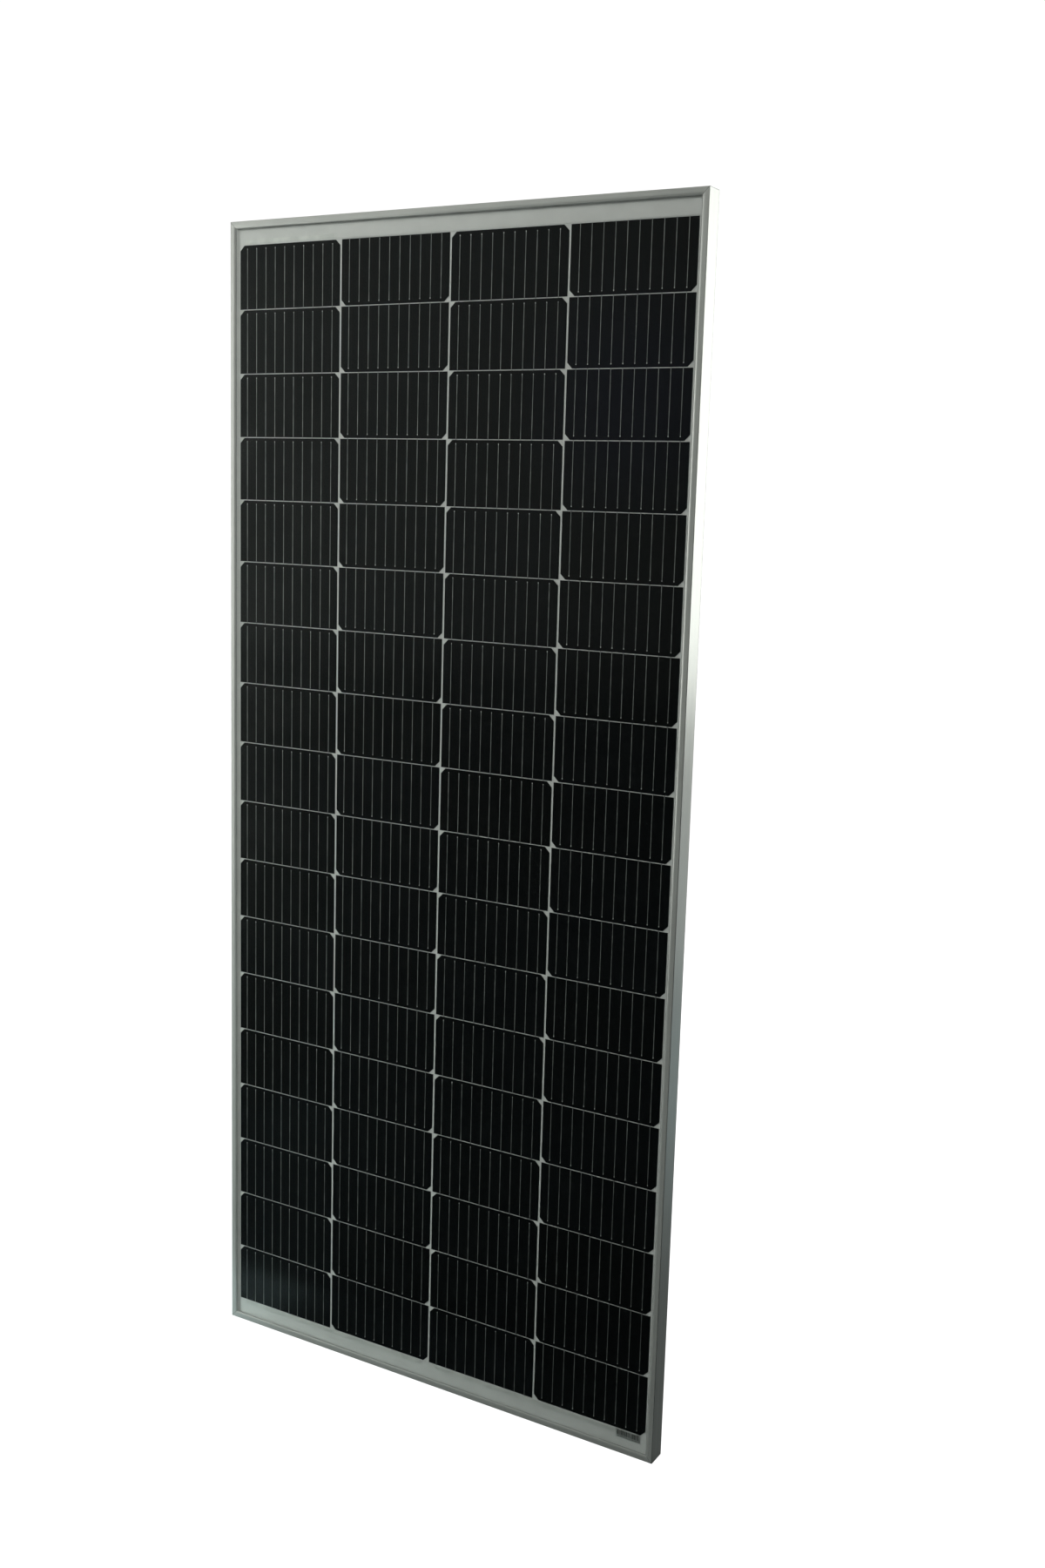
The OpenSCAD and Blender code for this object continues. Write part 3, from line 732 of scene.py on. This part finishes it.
def make_floor():
    """A plain pale studio floor. The glass gets little back from it, apart from a strip at its foot."""
    low = CAD_BOX[0].z - 0.2 * MM
    half = 9.0
    bm = bmesh.new()
    bmesh.ops.create_grid(bm, x_segments=6, y_segments=6, size=half)
    mesh = bpy.data.meshes.new("floor")
    bm.to_mesh(mesh)
    bm.free()
    floor = bpy.data.objects.new("floor", mesh)
    floor.location = (0.0, 0.0, low)
    bpy.context.scene.collection.objects.link(floor)
    material, tree = bare_material("studio floor")
    point = add(tree, "ShaderNodeSeparateXYZ", {0: place(tree)}).outputs
    fine = noise(tree, place(tree), 40.0, 3.0)
    pale = blend(tree, fine, (0.985, 0.985, 0.985), (1.0, 1.0, 1.0))
    shown = add(tree, "ShaderNodeEmission", {"Color": pale, "Strength": 1.0})
    lit = add(tree, "ShaderNodeBsdfDiffuse", {"Color": (0.35, 0.35, 0.35, 1.0)})
    seen = add(tree, "ShaderNodeAddShader", {0: shown.outputs[0], 1: lit.outputs[0]})
    near = remap(tree, point["Y"], -0.20, -0.14, 0.0, 0.42)
    left = remap(tree, point["X"], -0.42, -0.22, 1.0, 0.08)
    behind = remap(tree, point["Y"], 0.4, 1.3, 0.02, 0.42)
    strip = sum_of(tree, "ADD", sum_of(tree, "MULTIPLY", near, left), behind)
    red = sum_of(tree, "MULTIPLY", strip, 0.80)
    blue = sum_of(tree, "MULTIPLY", strip, 1.08)
    grey = add(tree, "ShaderNodeCombineColor", {"Red": red, "Green": strip, "Blue": blue}).outputs[0]
    given_back = add(tree, "ShaderNodeBsdfDiffuse", {"Color": grey})
    path = add(tree, "ShaderNodeLightPath").outputs["Is Camera Ray"]
    show_mix(tree, path, given_back, seen)
    floor.data.materials.append(material)


def soft_light(name, at, aim, wide, high, watts, colour, lights):
    """A soft box, never seen itself. It lights dull surfaces, shows in glossy ones, or both."""
    data = bpy.data.lights.new(name, "AREA")
    data.shape = "RECTANGLE"
    data.size = wide
    data.size_y = high
    data.energy = watts
    data.color = colour
    light = bpy.data.objects.new(name, data)
    light.location = at
    light.rotation_euler = (Vector(aim) - Vector(at)).to_track_quat("-Z", "Y").to_euler()
    light.visible_camera = False
    light.visible_glossy = lights != "dull"
    light.visible_diffuse = lights != "gloss"
    bpy.context.scene.collection.objects.link(light)


def facing(tree, way, target):
    """How nearly a direction points the target's way."""
    return add(tree, "ShaderNodeVectorMath", {0: way, 1: target}, operation="DOT_PRODUCT").outputs["Value"]


def make_world():
    """White behind everything. The light it gives is dim in front of the panel and stronger behind it."""
    up_and_back = (0.10, 0.85, 0.45)
    low_left = (-0.753, -0.653, 0.080)
    world = bpy.data.worlds.new("studio")
    bpy.context.scene.world = world
    world.use_nodes = True
    tree = world.node_tree
    tree.nodes.clear()
    way = add(tree, "ShaderNodeTexCoord").outputs["Generated"]
    lean = facing(tree, way, up_and_back)
    level = remap(tree, lean, -0.3, 1.0, 0.009, 0.30)
    toward = facing(tree, way, low_left)
    glow = remap(tree, toward, 0.84, 1.0, 0.0, 0.17)
    level = sum_of(tree, "ADD", level, glow)
    dim = add(tree, "ShaderNodeBackground", {"Color": (0.96, 1.0, 0.975, 1.0), "Strength": level})
    white = add(tree, "ShaderNodeBackground", {"Color": (1.0, 1.0, 1.0, 1.0), "Strength": 1.05})
    path = add(tree, "ShaderNodeLightPath").outputs["Is Camera Ray"]
    show_mix(tree, path, dim, white, "ShaderNodeOutputWorld")


make_floor()
make_world()
MIDDLE = (0.0, 0.0, 0.1)
DAY = (0.985, 1.0, 0.965)
COOL = (0.87, 1.0, 0.97)
# Each light: its name, place, aim, width, height, watts and colour, and what it reaches.
for soft_box in (
    ("near_soft_box", (-1.35, -1.6, 1.15), MIDDLE, 1.2, 1.2, 16.0, DAY, "dull"),
    ("high_soft_box", (-1.5, -2.5, 2.6), MIDDLE, 1.6, 1.2, 30.0, DAY, "dull"),
    ("high_gleam", (-1.5, -2.5, 2.6), MIDDLE, 1.6, 1.2, 15.0, DAY, "gloss"),
    ("low_soft_box", (-1.0, -0.62, -0.55), (-0.42, 0.0, -0.6), 0.7, 0.8, 5.0, COOL, "dull"),
    ("side_soft_box", (1.34, 2.0, 0.68), (0.35, 0.0, 0.3), 1.2, 1.5, 16.0, DAY, "both"),
    ("side_low_gleam", (1.30, 1.95, -0.42), (0.38, 0.0, 0.0), 1.2, 0.7, 1.3, DAY, "gloss"),
    ("rear_soft_box", (-1.5, 2.3, 1.1), MIDDLE, 1.4, 1.4, 34.0, DAY, "both"),
    ("front_gleam", (1.2, -2.4, 1.5), MIDDLE, 1.1, 1.1, 2.5, DAY, "gloss"),
    ("right_gleam", (2.6, -0.5, 1.1), MIDDLE, 1.4, 1.6, 6.0, DAY, "gloss"),
    ("left_gleam", (-2.6, -1.7, 0.0), (-0.38, 0.0, 0.0), 0.8, 2.6, 18.0, DAY, "gloss"),
):
    soft_light(*soft_box)
bpy.context.scene.view_settings.view_transform = "Standard"
bpy.context.scene.cycles.transparent_max_bounces = 24
